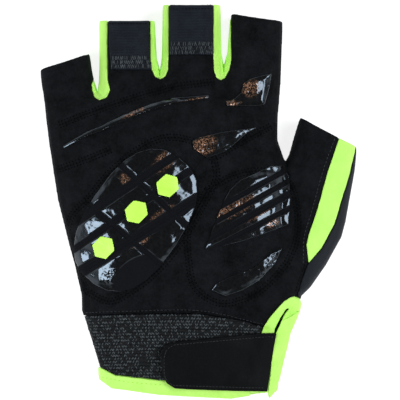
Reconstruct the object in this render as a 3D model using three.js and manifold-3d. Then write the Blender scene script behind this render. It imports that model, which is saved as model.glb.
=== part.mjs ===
// A half-finger cycling glove for the right hand, lying on its back with the palm up.
// Millimetres. +Z is up, +Y points to the fingertips and +X to the thumb.

import * as THREE from 'three';
import { mergeVertices } from 'three/addons/utils/BufferGeometryUtils.js';
import Module from 'manifold-3d';

const wasm = await Module();
wasm.setup();

// Overall sizes
const palmWidth = 97; // across the knuckles
const gloveLength = 163; // from the lowest point of the hem to the middle fingertip
const palmHeight = 22; // the palm's height above the surface that the glove lies on

// Cloth, seams and clearances
const wallThickness = 1.5; // suede, stretch fabric and knit
const seamHeight = 7; // height of the seam between the palm side and the back
const gussetBase = 3; // lower edge of the strips between the fingers
const sewingGap = 0.3; // clearance between pieces that touch
const bindingRise = 0.5; // how far a binding stands proud of the cloth, outside and inside
const tabThickness = 1.2;
const strapThickness = 1.6;
const padRise = 2; // how far a sewn-in pad lifts the suede
const gelThickness = 1; // glossy patch over a pad
const gelGroove = 0.5; // depth of the grooves in a glossy patch
const grooveWidth = 1.6;
const markThickness = 0.5;
const markLength = 10.5;
const markWidth = 8;

// How the cloth tubes are rounded
const upperSides = 14; // facets over the upper half of a tube
const innerUpperSides = 10; // and over the upper half of its hollow
const lowerSides = 6; // facets under its lower half
const boxiness = 2.5; // 2 is an ellipse, more is squarer
const widestShare = 0.42; // height of the widest line, as a share of the tube's height
const underFullness = 1.25; // fullness of the lower half before the surface flattens it
const overrun = 3; // how far a hollow runs out of its opening

// Sections of the cloth tubes. along is a share of the glove's length, left and right are shares of the
// palm's width from the centre line, height is a share of the palm's height, and lean slants an opening.
const palmSections = [
  { along: -0.014, left: -0.407, right: 0.325, height: 0.74 },
  { along: 0.078, left: -0.419, right: 0.346, height: 0.76 },
  { along: 0.152, left: -0.456, right: 0.384, height: 0.8 },
  { along: 0.219, left: -0.491, right: 0.426, height: 0.87 },
  { along: 0.262, left: -0.494, right: 0.436, height: 0.91 },
  { along: 0.332, left: -0.521, right: 0.454, height: 0.96 },
  { along: 0.39, left: -0.547, right: 0.448, height: 1 },
  { along: 0.5, left: -0.593, right: 0.412, height: 1 },
  { along: 0.569, left: -0.612, right: 0.381, height: 0.98 },
  { along: 0.648, left: -0.632, right: 0.333, height: 0.94 },
  { along: 0.71, left: -0.645, right: 0.334, height: 0.88 },
  { along: 0.747, left: -0.651, right: 0.339, height: 0.78 },
  { along: 0.771, left: -0.629, right: 0.32, height: 0.5 },
];
const pinkySections = [
  { along: 0.624, left: -0.626, right: -0.381, height: 0.66 },
  { along: 0.71, left: -0.644, right: -0.402, height: 0.68 },
  { along: 0.759, left: -0.654, right: -0.423, height: 0.66 },
  { along: 0.783, left: -0.659, right: -0.44, height: 0.64, lean: 0.1 },
  { along: 0.806, left: -0.664, right: -0.452, height: 0.63, lean: 0.2 },
  { along: 0.846, left: -0.668, right: -0.464, height: 0.62, lean: 0.323 },
];
const ringSections = [
  { along: 0.648, left: -0.448, right: -0.129, height: 0.74 },
  { along: 0.734, left: -0.435, right: -0.136, height: 0.74 },
  { along: 0.771, left: -0.426, right: -0.144, height: 0.73 },
  { along: 0.796, left: -0.421, right: -0.153, height: 0.72 },
  { along: 0.828, left: -0.418, right: -0.167, height: 0.7 },
  { along: 0.857, left: -0.418, right: -0.179, height: 0.69 },
  { along: 0.949, left: -0.418, right: -0.188, height: 0.66 },
];
const middleSections = [
  { along: 0.648, left: -0.201, right: 0.144, height: 0.76 },
  { along: 0.747, left: -0.191, right: 0.136, height: 0.76 },
  { along: 0.796, left: -0.179, right: 0.124, height: 0.74 },
  { along: 0.828, left: -0.161, right: 0.113, height: 0.72 },
  { along: 0.845, left: -0.156, right: 0.102, height: 0.71 },
  { along: 0.869, left: -0.153, right: 0.095, height: 0.7 },
  { along: 0.989, left: -0.149, right: 0.091, height: 0.66 },
];
const indexSections = [
  { along: 0.648, left: 0.041, right: 0.332, height: 0.76 },
  { along: 0.685, left: 0.052, right: 0.329, height: 0.75 },
  { along: 0.734, left: 0.067, right: 0.338, height: 0.74 },
  { along: 0.796, left: 0.088, right: 0.346, height: 0.72 },
  { along: 0.828, left: 0.101, right: 0.348, height: 0.71 },
  { along: 0.845, left: 0.113, right: 0.349, height: 0.7 },
  { along: 0.869, left: 0.124, right: 0.351, height: 0.69 },
  { along: 0.957, left: 0.138, right: 0.354, height: 0.66, lean: -0.15 },
];
const thumbSections = [
  { along: 0.231, left: 0.227, right: 0.392, height: 0.45 },
  { along: 0.28, left: 0.206, right: 0.474, height: 0.62 },
  { along: 0.336, left: 0.206, right: 0.539, height: 0.72 },
  { along: 0.406, left: 0.227, right: 0.604, height: 0.78 },
  { along: 0.444, left: 0.247, right: 0.621, height: 0.8 },
  { along: 0.513, left: 0.289, right: 0.642, height: 0.78 },
  { along: 0.556, left: 0.34, right: 0.653, height: 0.75, lean: -0.08 },
  { along: 0.593, left: 0.386, right: 0.66, height: 0.73, lean: -0.25 },
  { along: 0.626, left: 0.407, right: 0.664, height: 0.71, lean: -0.42 },
  { along: 0.668, left: 0.432, right: 0.668, height: 0.69, lean: -0.53 },
];

// Sewn-in pads under the suede, as rounded ovals. long and wide are half lengths as shares of the palm's
// width, turn is in degrees from +X, and bow bends the long axis by that share of its length.
const padOvals = [
  { name: 'heel', across: -0.265, along: 0.448, long: 0.338, wide: 0.211, turn: 56, bow: 0 },
  { name: 'thumb', across: 0.209, along: 0.426, long: 0.3, wide: 0.18, turn: 57, bow: 0 },
  { name: 'knuckle', across: -0.129, along: 0.72, long: 0.45, wide: 0.085, turn: 19, bow: -0.1 },
];

// Plan outlines of the pieces: across is a share of the palm's width, along of the glove's length.
const gussetOutlines = {
  gusset_pinky_ring: [
    { across: -0.385, along: 1.03 },
    { across: -0.385, along: 0.8 },
    { across: -0.374, along: 0.775 },
    { across: -0.387, along: 0.757 },
    { across: -0.418, along: 0.749 },
    { across: -0.438, along: 0.757 },
    { across: -0.448, along: 0.773 },
    { across: -0.452, along: 0.789 },
    { across: -0.442, along: 0.806 },
    { across: -0.43, along: 0.85 },
    { across: -0.43, along: 1.03 },
  ],
  gusset_ring_middle: [
    { across: -0.126, along: 1.03 },
    { across: -0.126, along: 0.9 },
    { across: -0.129, along: 0.828 },
    { across: -0.142, along: 0.81 },
    { across: -0.163, along: 0.803 },
    { across: -0.185, along: 0.81 },
    { across: -0.197, along: 0.826 },
    { across: -0.201, along: 0.851 },
    { across: -0.207, along: 1.03 },
  ],
  gusset_middle_index: [
    { across: 0.139, along: 1.03 },
    { across: 0.137, along: 0.851 },
    { across: 0.129, along: 0.826 },
    { across: 0.112, along: 0.806 },
    { across: 0.093, along: 0.8 },
    { across: 0.076, along: 0.806 },
    { across: 0.067, along: 0.821 },
    { across: 0.064, along: 0.851 },
    { across: 0.064, along: 1.03 },
  ],
};
const tabOutlines = {
  tab_ring: [
    { across: -0.38, along: 0.948 },
    { across: -0.371, along: 0.826 },
    { across: -0.2, along: 0.826 },
    { across: -0.211, along: 0.948 },
  ],
  tab_middle: [
    { across: -0.122, along: 0.988 },
    { across: -0.125, along: 0.863 },
    { across: 0.06, along: 0.863 },
    { across: 0.06, along: 0.988 },
  ],
};
const stripeOutline = [
  { across: 0.61, along: 0.7 },
  { across: 0.594, along: 0.655 },
  { across: 0.55, along: 0.579 },
  { across: 0.501, along: 0.476 },
  { across: 0.464, along: 0.411 },
  { across: 0.455, along: 0.386 },
  { across: 0.464, along: 0.341 },
  { across: 0.518, along: 0.379 },
  { across: 0.572, along: 0.437 },
  { across: 0.598, along: 0.489 },
  { across: 0.636, along: 0.565 },
  { across: 0.663, along: 0.635 },
  { across: 0.69, along: 0.7 },
];
// Where the back panel comes round to the palm side, right of the stripe and of the wrist slit.
const wrapOutline = [
  { across: 0.645, along: 0.7 },
  { across: 0.594, along: 0.549 },
  { across: 0.522, along: 0.423 },
  { across: 0.464, along: 0.341 },
  { across: 0.437, along: 0.297 },
  { across: 0.416, along: 0.257 },
  { across: 0.408, along: 0.222 },
  { across: 0.357, along: 0.159 },
  { across: 0.332, along: 0.084 },
  { across: 0.302, along: -0.06 },
  { across: 0.9, along: -0.06 },
  { across: 0.9, along: 0.7 },
];
const cuffOutline = [
  { across: -0.7, along: 0.207 },
  { across: -0.481, along: 0.207 },
  { across: -0.29, along: 0.212 },
  { across: 0.006, along: 0.213 },
  { across: 0.175, along: 0.197 },
  { across: 0.288, along: 0.177 },
  { across: 0.43, along: 0.15 },
  { across: 0.43, along: -0.06 },
  { across: -0.7, along: -0.06 },
];
const hemOutline = [
  { across: -0.7, along: 0.082 },
  { across: -0.418, along: 0.076 },
  { across: -0.353, along: 0.058 },
  { across: -0.137, along: 0.045 },
  { across: 0.006, along: 0.034 },
  { across: 0.133, along: 0.03 },
  { across: 0.252, along: 0.038 },
  { across: 0.5, along: 0.06 },
  { across: 0.5, along: 0.028 },
  { across: 0.25, along: 0.01 },
  { across: 0.136, along: 0 },
  { across: 0.006, along: 0.004 },
  { across: -0.167, along: 0.01 },
  { across: -0.366, along: 0.026 },
  { across: -0.413, along: 0.046 },
  { across: -0.7, along: 0.05 },
];
// The binding of the wrist slit: down the outer side of the back leg, up between the legs, and back to
// the start along the palm leg.
const slitOuterEdge = [
  { across: 0.387, along: 0.254 },
  { across: 0.404, along: 0.256 },
  { across: 0.425, along: 0.25 },
  { across: 0.435, along: 0.237 },
  { across: 0.427, along: 0.22 },
  { across: 0.408, along: 0.192 },
  { across: 0.387, along: 0.164 },
  { across: 0.376, along: 0.134 },
  { across: 0.357, along: 0.091 },
  { across: 0.342, along: 0.051 },
  { across: 0.321, along: 0.016 },
  { across: 0.3, along: 0.001 },
];
const slitBackLegEdge = [
  { across: 0.294, along: 0.016 },
  { across: 0.302, along: 0.051 },
  { across: 0.313, along: 0.096 },
  { across: 0.323, along: 0.134 },
  { across: 0.333, along: 0.164 },
  { across: 0.351, along: 0.192 },
  { across: 0.37, along: 0.2145 },
  { across: 0.387, along: 0.229 },
];
const slitPalmLegInner = [
  { across: 0.37, along: 0.225 },
  { across: 0.34, along: 0.203 },
  { across: 0.313, along: 0.177 },
  { across: 0.294, along: 0.147 },
  { across: 0.277, along: 0.096 },
  { across: 0.264, along: 0.046 },
  { across: 0.26, along: 0.012 },
];
const slitPalmLegOuter = [
  { across: 0.22, along: 0.01 },
  { across: 0.224, along: 0.046 },
  { across: 0.237, along: 0.096 },
  { across: 0.254, along: 0.147 },
  { across: 0.277, along: 0.182 },
  { across: 0.302, along: 0.205 },
  { across: 0.332, along: 0.226 },
  { across: 0.361, along: 0.245 },
];
const strapOutline = [
  { across: -0.061, along: 0.147 },
  { across: 0.11, along: 0.158 },
  { across: 0.283, along: 0.165 },
  { across: 0.33, along: 0.165 },
  { across: 0.32, along: 0.134 },
  { across: 0.31, along: 0.096 },
  { across: 0.299, along: 0.051 },
  { across: 0.29, along: 0.018 },
  { across: 0.091, along: 0.022 },
  { across: -0.097, along: 0.027 },
  { across: -0.133, along: 0.041 },
  { across: -0.15, along: 0.063 },
  { across: -0.158, along: 0.095 },
  { across: -0.156, along: 0.125 },
  { across: -0.137, along: 0.14 },
];
const gelOutlines = {
  gel_thumb: [
    { across: 0.027, along: 0.375 },
    { across: 0.07, along: 0.443 },
    { across: 0.106, along: 0.496 },
    { across: 0.131, along: 0.524 },
    { across: 0.175, along: 0.549 },
    { across: 0.243, along: 0.567 },
    { across: 0.302, along: 0.584 },
    { across: 0.353, along: 0.584 },
    { across: 0.383, along: 0.559 },
    { across: 0.387, along: 0.499 },
    { across: 0.378, along: 0.438 },
    { across: 0.268, along: 0.413 },
    { across: 0.17, along: 0.394 },
    { across: 0.091, along: 0.383 },
  ],
  gel_thumb_leaf: [
    { across: 0.053, along: 0.273 },
    { across: 0.114, along: 0.258 },
    { across: 0.184, along: 0.273 },
    { across: 0.256, along: 0.297 },
    { across: 0.325, along: 0.343 },
    { across: 0.351, along: 0.378 },
    { across: 0.302, along: 0.363 },
    { across: 0.226, along: 0.328 },
    { across: 0.133, along: 0.308 },
    { across: 0.074, along: 0.29 },
  ],
  gel_palm_leaf: [
    { across: -0.027, along: 0.645 },
    { across: 0.002, along: 0.655 },
    { across: 0.095, along: 0.668 },
    { across: 0.247, along: 0.681 },
    { across: 0.201, along: 0.665 },
    { across: 0.14, along: 0.632 },
    { across: 0.11, along: 0.619 },
    { across: 0.036, along: 0.604 },
    { across: -0.019, along: 0.627 },
  ],
  gel_hook: [
    { across: 0.114, along: 0.748 },
    { across: 0.118, along: 0.735 },
    { across: 0.243, along: 0.734 },
    { across: 0.278, along: 0.738 },
    { across: 0.3, along: 0.785 },
    { across: 0.306, along: 0.816 },
    { across: 0.268, along: 0.812 },
    { across: 0.218, along: 0.803 },
    { across: 0.188, along: 0.79 },
    { across: 0.18, along: 0.768 },
    { across: 0.15, along: 0.753 },
  ],
};
// The thin glossy arc under the fingers: its centre line, with its half width as a share of the palm's.
const arcLine = [
  { across: -0.569, along: 0.63, half: 0.005 },
  { across: -0.467, along: 0.665, half: 0.009 },
  { across: -0.404, along: 0.679, half: 0.01 },
  { across: -0.298, along: 0.709, half: 0.012 },
  { across: -0.197, along: 0.733, half: 0.012 },
  { across: -0.108, along: 0.748, half: 0.011 },
  { across: 0.044, along: 0.758, half: 0.006 },
];
// Grooves in the glossy patches: a point on each, its direction in degrees from +X, and the patch it is in.
const gelGrooves = [
  { patch: 'gel_heel', across: -0.205, along: 0.569, turn: 33 },
  { patch: 'gel_heel', across: -0.475, along: 0.456, turn: 34 },
  { patch: 'gel_heel', across: -0.48, along: 0.393, turn: 34 },
  { patch: 'gel_heel', across: -0.437, along: 0.34, turn: 32 },
  { patch: 'gel_heel', across: -0.34, along: 0.428, turn: -40 },
  { patch: 'gel_heel', across: -0.205, along: 0.519, turn: -43 },
  { patch: 'gel_thumb', across: 0.207, along: 0.52, turn: 29 },
  { patch: 'gel_thumb', across: 0.235, along: 0.499, turn: 29 },
  { patch: 'gel_thumb', across: 0.184, along: 0.448, turn: 29 },
  { patch: 'gel_thumb', across: 0.218, along: 0.428, turn: 27 },
];
// The plain marks on the heel patch, each lying along the row that they make.
const marks = [
  { name: 'mark_low', across: -0.399, along: 0.38, turn: 45 },
  { name: 'mark_mid', across: -0.26, along: 0.469, turn: 45 },
  { name: 'mark_high', across: -0.129, along: 0.534, turn: 42 },
];

// Heights that a cut runs through, well past the glove on both sides
const farBelow = -palmHeight;
const farAbove = 3 * palmHeight;

function solidOf(geometry) {
  geometry.deleteAttribute('normal');
  geometry.deleteAttribute('uv');
  const merged = mergeVertices(geometry, 1e-4);
  const vertProperties = new Float32Array(merged.attributes.position.array);
  const triVerts = new Uint32Array(merged.index.array);
  return new wasm.Manifold(new wasm.Mesh({ numProp: 3, vertProperties, triVerts }));
}

// A closed skin over rings that all have the same number of points.
function loft(rings) {
  const sides = rings[0].length;
  const points = rings.flat();
  const faces = [];
  for (let r = 0; r < rings.length - 1; r += 1) {
    for (let i = 0; i < sides; i += 1) {
      const here = r * sides + i;
      const next = r * sides + ((i + 1) % sides);
      faces.push(here, here + sides, next);
      faces.push(next, here + sides, next + sides);
    }
  }
  const last = (rings.length - 1) * sides;
  for (let i = 1; i < sides - 1; i += 1) {
    faces.push(0, i, i + 1);
    faces.push(last, last + i + 1, last + i);
  }
  const geometry = new THREE.BufferGeometry();
  geometry.setAttribute('position', new THREE.Float32BufferAttribute(points.flatMap((p) => p.toArray()), 3));
  geometry.setIndex(faces);
  return solidOf(geometry);
}

// A pad's rise at a point of the plan: full in the pad's middle and none at its edge.
function padLift(x, y) {
  let lift = 0;
  for (const oval of padOvals) {
    const point = new THREE.Vector2(x - oval.across * palmWidth, y - oval.along * gloveLength);
    point.rotateAround(new THREE.Vector2(), -THREE.MathUtils.degToRad(oval.turn));
    const u = point.x / (oval.long * palmWidth);
    const v = point.y / (oval.wide * palmWidth) - (oval.bow * oval.long * u ** 2) / oval.wide;
    const reach = (Math.abs(u) ** boxiness + Math.abs(v) ** boxiness) ** (1 / boxiness);
    lift = Math.max(lift, padRise * (1 - Math.min(reach, 1) ** 4));
  }
  return lift;
}

// One section of a cloth tube, flattened where it lies on the surface. inset is measured inwards.
function sectionRing(row, inset, padded) {
  const left = row.left * palmWidth + inset;
  const right = row.right * palmWidth - inset;
  const centre = (left + right) / 2;
  const halfWidth = (right - left) / 2;
  const height = row.height * palmHeight;
  const middle = height * widestShare;
  const floor = Math.max(inset, 0);
  const ring = [];
  const topSides = padded ? upperSides : innerUpperSides;
  for (let i = 0; i < topSides + lowerSides; i += 1) {
    const isUpper = i < topSides;
    const turn = isUpper ? i / topSides : (i - topSides) / lowerSides;
    const sideways = (isUpper ? 1 : -1) * Math.cos(Math.PI * turn);
    const swell = (1 - Math.abs(sideways) ** boxiness) ** (1 / boxiness);
    const x = centre + halfWidth * sideways;
    const y = row.along * gloveLength + (row.lean ?? 0) * (x - centre);
    const upperReach = height - middle - inset + (padded ? padLift(x, y) : 0);
    const z = middle + (isUpper ? upperReach : inset - middle * underFullness) * swell;
    ring.push(new THREE.Vector3(x, y, Math.max(floor, z)));
  }
  return ring;
}

function shifted(ring, distance) {
  return ring.map((p) => p.clone().add(new THREE.Vector3(0, distance, 0)));
}

// Puts a row halfway between each two, so that the pads' rise has enough sections.
function halved(sections) {
  return sections.flatMap((row, i) => {
    const next = sections[i + 1];
    if (!next) {
      return [row];
    }
    const between = Object.fromEntries(Object.keys(row).map((key) => [key, (row[key] + next[key]) / 2]));
    return [row, between];
  });
}

// The palm is open at the wrist and closed under the fingers.
function palmTube(inset, padded) {
  const rows = padded ? halved(palmSections) : palmSections;
  const rings = rows.map((row) => sectionRing(row, inset, padded));
  rings[rings.length - 1] = shifted(rings[rings.length - 1], -inset);
  if (!padded) {
    rings.unshift(shifted(rings[0], -overrun));
  }
  return loft(rings);
}

// A finger is open at its tip.
function fingerTube(sections, inset, padded) {
  const rings = sections.map((row) => sectionRing(row, inset, padded));
  if (!padded) {
    rings.push(shifted(rings[rings.length - 1], overrun));
  }
  return loft(rings);
}

const fingerTables = [pinkySections, ringSections, middleSections, indexSections, thumbSections];

// The whole outer form, grown outwards by grow. It is worked out once for each growth.
const grownForms = new Map();
function outerForm(grow) {
  if (!grownForms.has(grow)) {
    let form = palmTube(-grow, true);
    for (const sections of fingerTables) {
      form = form.add(fingerTube(sections, -grow, true));
    }
    grownForms.set(grow, form);
  }
  return grownForms.get(grow);
}

function innerForm(inset) {
  let form = palmTube(inset, false);
  for (const sections of fingerTables) {
    form = form.add(fingerTube(sections, inset, false));
  }
  return form;
}

// A layer over the cloth, from one height above it to another.
function layer(from, to) {
  return outerForm(to).subtract(outerForm(from));
}

function plan(rows) {
  return rows.map((row) => new THREE.Vector2(row.across * palmWidth, row.along * gloveLength));
}

// Moves an outline's edge outwards by margin.
function swell(points, margin) {
  const clockwise = THREE.ShapeUtils.isClockWise(points);
  return points.map((p, i) => {
    const before = points[(i + points.length - 1) % points.length];
    const after = points[(i + 1) % points.length];
    const inward = p.clone().sub(before).normalize();
    const outward = after.clone().sub(p).normalize();
    const along = inward.add(outward).normalize();
    const normal = clockwise ? new THREE.Vector2(-along.y, along.x) : new THREE.Vector2(along.y, -along.x);
    return p.clone().addScaledVector(normal, margin);
  });
}

function prism(points, low = farBelow, high = farAbove) {
  const shape = new THREE.Shape(points);
  const geometry = new THREE.ExtrudeGeometry(shape, { depth: high - low, bevelEnabled: false });
  geometry.translate(0, 0, low);
  return solidOf(geometry);
}

// A cut may leave crumbs of cloth at a corner; the piece is its largest body.
function mainBody(solid) {
  const bodies = solid.decompose();
  return bodies.reduce((largest, body) => (body.volume() > largest.volume() ? body : largest));
}

const glove = new THREE.Group();

function addPiece(name, solid, finish) {
  const mesh = mainBody(solid).getMesh();
  const geometry = new THREE.BufferGeometry();
  geometry.setAttribute('position', new THREE.BufferAttribute(mesh.vertProperties, 3));
  geometry.setIndex(new THREE.BufferAttribute(mesh.triVerts, 1));
  geometry.computeVertexNormals();
  const piece = new THREE.Mesh(geometry, new THREE.MeshStandardMaterial(finish));
  piece.name = name;
  glove.add(piece);
}

// Finishes
const suede = { color: 0x141619, roughness: 0.95, metalness: 0 };
const stretch = { color: 0x282d34, roughness: 0.75, metalness: 0 };
const neon = { color: 0xb4f53c, roughness: 0.6, metalness: 0 };
const tape = { color: 0x1e212a, roughness: 0.8, metalness: 0 };
const knit = { color: 0x2c2f31, roughness: 0.9, metalness: 0 };
const smooth = { color: 0x18181a, roughness: 0.55, metalness: 0 };
const gel = { color: 0x0c0b0b, roughness: 0.12, metalness: 0 };

// The cloth and the areas that divide it
const surround = plan([
  { across: -1, along: -0.2 },
  { across: 1, along: -0.2 },
  { across: 1, along: 1.2 },
  { across: -1, along: 1.2 },
]);
const shell = outerForm(0).subtract(innerForm(wallThickness));
const shellTop = shell.subtract(prism(surround, farBelow, seamHeight + sewingGap));
const shellUnder = shell.intersect(prism(surround, farBelow, seamHeight));

const wrap = plan(wrapOutline);
const cuff = plan(cuffOutline);
const hem = plan(hemOutline);
const stripe = plan(stripeOutline);
const belowHem = plan([
  ...hemOutline.slice(hemOutline.length / 2),
  { across: -0.7, along: -0.1 },
  { across: 0.5, along: -0.1 },
]);
const slitWhole = plan([...slitOuterEdge, { across: 0.26, along: -0.05 }, ...slitPalmLegOuter]);
const slitCut = prism(swell(slitWhole, sewingGap), seamHeight, farAbove);
const hemCut = prism(swell(hem, sewingGap)).add(prism(belowHem));

let gussetCut = prism(swell(stripe, sewingGap), seamHeight);
for (const outline of Object.values(gussetOutlines)) {
  gussetCut = gussetCut.add(prism(swell(plan(outline), sewingGap), gussetBase));
}

// Palm, cuff and back
const palmPanel = shellTop
  .subtract(prism(swell(wrap, sewingGap)))
  .subtract(prism(swell(cuff, sewingGap)))
  .subtract(gussetCut)
  .subtract(slitCut);
addPiece('palm_panel', palmPanel, suede);

const cuffBand = shellTop
  .intersect(prism(cuff))
  .subtract(prism(swell(wrap, sewingGap)))
  .subtract(hemCut)
  .subtract(slitCut);
addPiece('cuff_band', cuffBand, knit);

const backPanel = shellUnder
  .add(shell.intersect(prism(wrap)))
  .subtract(gussetCut)
  .subtract(hemCut)
  .subtract(slitCut);
addPiece('back_panel', backPanel, stretch);

for (const [name, outline] of Object.entries(gussetOutlines)) {
  addPiece(name, shell.intersect(prism(plan(outline), gussetBase + sewingGap)), neon);
}
addPiece('thumb_stripe', shell.intersect(prism(stripe, seamHeight + sewingGap)), neon);

// Bindings
const bindingShell = outerForm(bindingRise).subtract(innerForm(wallThickness + bindingRise));
addPiece('hem_binding', bindingShell.intersect(prism(hem)).subtract(slitCut), neon);

const slitOutline = plan([...slitOuterEdge, ...slitBackLegEdge, ...slitPalmLegInner, ...slitPalmLegOuter]);
const slitFlat = bindingShell.intersect(prism(slitOutline, seamHeight + sewingGap));
const backLeg = plan([...slitOuterEdge.slice(4), ...slitBackLegEdge.slice(0, -2)]);
const strapLift = bindingRise + sewingGap;
const slitFold = layer(0, strapLift + strapThickness).intersect(prism(backLeg, seamHeight + sewingGap));
addPiece('slit_binding', slitFlat.add(slitFold), neon);

const strapLayer = layer(strapLift, strapLift + strapThickness);
addPiece('closure_strap', strapLayer.intersect(prism(plan(strapOutline))), smooth);

const tabLayer = layer(sewingGap, sewingGap + tabThickness);
for (const [name, outline] of Object.entries(tabOutlines)) {
  addPiece(name, tabLayer.intersect(prism(plan(outline), seamHeight)), tape);
}

// Glossy patches and the marks on one of them
const gelTop = sewingGap + gelThickness;
const gelLayer = layer(sewingGap, gelTop);
const ovalSides = 24;
const gelShare = 0.95; // of the heel pad's oval

// The edge of a pad's oval, with a share of the pad's size.
function ovalOutline(oval, share) {
  const points = [];
  for (let i = 0; i < ovalSides; i += 1) {
    const angle = (2 * Math.PI * i) / ovalSides;
    const u = oval.long * Math.sign(Math.cos(angle)) * Math.abs(Math.cos(angle)) ** (2 / boxiness);
    const v = oval.wide * Math.sign(Math.sin(angle)) * Math.abs(Math.sin(angle)) ** (2 / boxiness);
    const point = new THREE.Vector2(u, v).multiplyScalar(palmWidth * share);
    point.rotateAround(new THREE.Vector2(), THREE.MathUtils.degToRad(oval.turn));
    points.push(point.add(plan([oval])[0]));
  }
  return points;
}

function grooveStrip(groove) {
  const centre = plan([groove])[0];
  const turn = THREE.MathUtils.degToRad(groove.turn);
  const direction = new THREE.Vector2(Math.cos(turn), Math.sin(turn));
  const aside = new THREE.Vector2(-direction.y, direction.x).multiplyScalar(grooveWidth / 2);
  const far = direction.multiplyScalar(palmWidth / 2);
  const corners = [
    centre.clone().sub(far).sub(aside),
    centre.clone().add(far).sub(aside),
    centre.clone().add(far).add(aside),
    centre.clone().sub(far).add(aside),
  ];
  return prism(corners, seamHeight);
}

function gelPatch(name, points) {
  let patch = gelLayer.intersect(prism(points, seamHeight));
  for (const groove of gelGrooves.filter((entry) => entry.patch === name)) {
    patch = patch.subtract(grooveStrip(groove).subtract(outerForm(gelTop - gelGroove)));
  }
  addPiece(name, patch, gel);
}

gelPatch('gel_heel', ovalOutline(padOvals[0], gelShare));
for (const [name, outline] of Object.entries(gelOutlines)) {
  gelPatch(name, plan(outline));
}

const arcPoints = plan(arcLine);
const arcSides = arcPoints.map((p, i) => {
  const before = arcPoints[Math.max(i - 1, 0)];
  const after = arcPoints[Math.min(i + 1, arcPoints.length - 1)];
  const run = after.clone().sub(before).normalize();
  return new THREE.Vector2(-run.y, run.x).multiplyScalar(arcLine[i].half * palmWidth);
});
const arcUpper = arcPoints.map((p, i) => p.clone().add(arcSides[i]));
const arcLower = arcPoints.map((p, i) => p.clone().sub(arcSides[i]));
gelPatch('gel_arc', [...arcUpper, ...arcLower.reverse()]);

const markBase = gelTop + sewingGap;
const markLayer = layer(markBase, markBase + markThickness);
for (const mark of marks) {
  const centre = plan([mark])[0];
  const turn = THREE.MathUtils.degToRad(mark.turn);
  const corners = [];
  for (let i = 0; i < 6; i += 1) {
    const angle = (Math.PI * i) / 3;
    const across = (Math.sin(angle) / Math.sin(Math.PI / 3)) * markWidth;
    const corner = new THREE.Vector2(Math.cos(angle) * markLength, across).multiplyScalar(0.5);
    corners.push(corner.rotateAround(new THREE.Vector2(), turn).add(centre));
  }
  addPiece(mark.name, markLayer.intersect(prism(corners, seamHeight)), neon);
}

// The origin is the middle of the glove's outline, on the surface that it lies on.
glove.updateMatrixWorld(true);
const bounds = new THREE.Box3().setFromObject(glove);
const middle = bounds.getCenter(new THREE.Vector3());
glove.position.set(-middle.x, -middle.y, -bounds.min.z);

export default glove;
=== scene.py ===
import math

import bmesh
import bpy
import numpy as np
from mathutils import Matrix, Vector
from mathutils.bvhtree import BVHTree
from mathutils.kdtree import KDTree


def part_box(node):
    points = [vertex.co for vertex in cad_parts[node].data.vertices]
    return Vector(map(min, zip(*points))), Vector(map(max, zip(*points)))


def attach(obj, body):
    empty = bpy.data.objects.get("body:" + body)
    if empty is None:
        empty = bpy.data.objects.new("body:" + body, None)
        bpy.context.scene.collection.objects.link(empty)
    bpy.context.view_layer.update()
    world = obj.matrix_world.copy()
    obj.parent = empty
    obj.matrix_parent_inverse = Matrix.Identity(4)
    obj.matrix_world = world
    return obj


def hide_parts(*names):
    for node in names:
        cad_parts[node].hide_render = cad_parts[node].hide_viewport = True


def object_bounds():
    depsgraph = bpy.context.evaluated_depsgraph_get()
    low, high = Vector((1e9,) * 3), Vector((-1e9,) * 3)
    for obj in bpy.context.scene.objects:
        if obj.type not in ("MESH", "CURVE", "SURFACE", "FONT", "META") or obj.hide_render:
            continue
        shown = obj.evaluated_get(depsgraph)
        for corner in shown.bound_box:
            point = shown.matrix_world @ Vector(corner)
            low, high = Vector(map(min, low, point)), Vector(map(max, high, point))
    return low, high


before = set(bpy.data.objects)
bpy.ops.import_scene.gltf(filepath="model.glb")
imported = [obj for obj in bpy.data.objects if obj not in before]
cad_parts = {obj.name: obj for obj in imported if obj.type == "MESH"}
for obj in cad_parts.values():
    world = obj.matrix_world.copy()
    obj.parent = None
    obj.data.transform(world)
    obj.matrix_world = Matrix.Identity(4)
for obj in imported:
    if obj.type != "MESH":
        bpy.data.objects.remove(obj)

# A half-finger cycling glove lying on its back, palm up. Metres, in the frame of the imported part.
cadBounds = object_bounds()
mm = 0.001
scene = bpy.context.scene

# The photograph's pixels in the frame: one pixel is this long, and these are the pixels over the origin.
photo = {
    "pixel": 0.41 * mm,
    "originX": 198.5,
    "originY": 201.7,
    "middleX": 200,
    "middleY": 200,
    "width": 400,
}


def fromPhoto(px, py):
    return (px - photo["originX"]) * photo["pixel"], (photo["originY"] - py) * photo["pixel"]


# Camera straight above the palm
cameraSetup = {"height": 1.5, "aim": 12 * mm, "sensor": 36.0, "near": 0.01, "far": 20}
lookX, lookY = fromPhoto(photo["middleX"], photo["middleY"])
cameraData = bpy.data.cameras.new("camera")
cameraData.sensor_width = cameraSetup["sensor"]
frameWidth = photo["width"] * photo["pixel"]
cameraData.lens = cameraSetup["sensor"] * (cameraSetup["height"] - cameraSetup["aim"]) / frameWidth
cameraData.clip_start = cameraSetup["near"]
cameraData.clip_end = cameraSetup["far"]
camera = bpy.data.objects.new("camera", cameraData)
camera.location = (lookX, lookY, cameraSetup["height"])
scene.collection.objects.link(camera)
scene.camera = camera
print("stage: camera")


# Small tools for meshes
def meshPoints(mesh):
    flat = np.empty(len(mesh.vertices) * 3, np.float32)
    mesh.vertices.foreach_get("co", flat)
    return flat.reshape(-1, 3).astype(np.float64)


def setMeshPoints(mesh, points):
    mesh.vertices.foreach_set("co", points.astype(np.float32).ravel())
    mesh.update()


def addObject(name, mesh):
    thing = bpy.data.objects.new(name, mesh)
    scene.collection.objects.link(thing)
    return thing


mergeReach = 0.002 * mm


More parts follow.
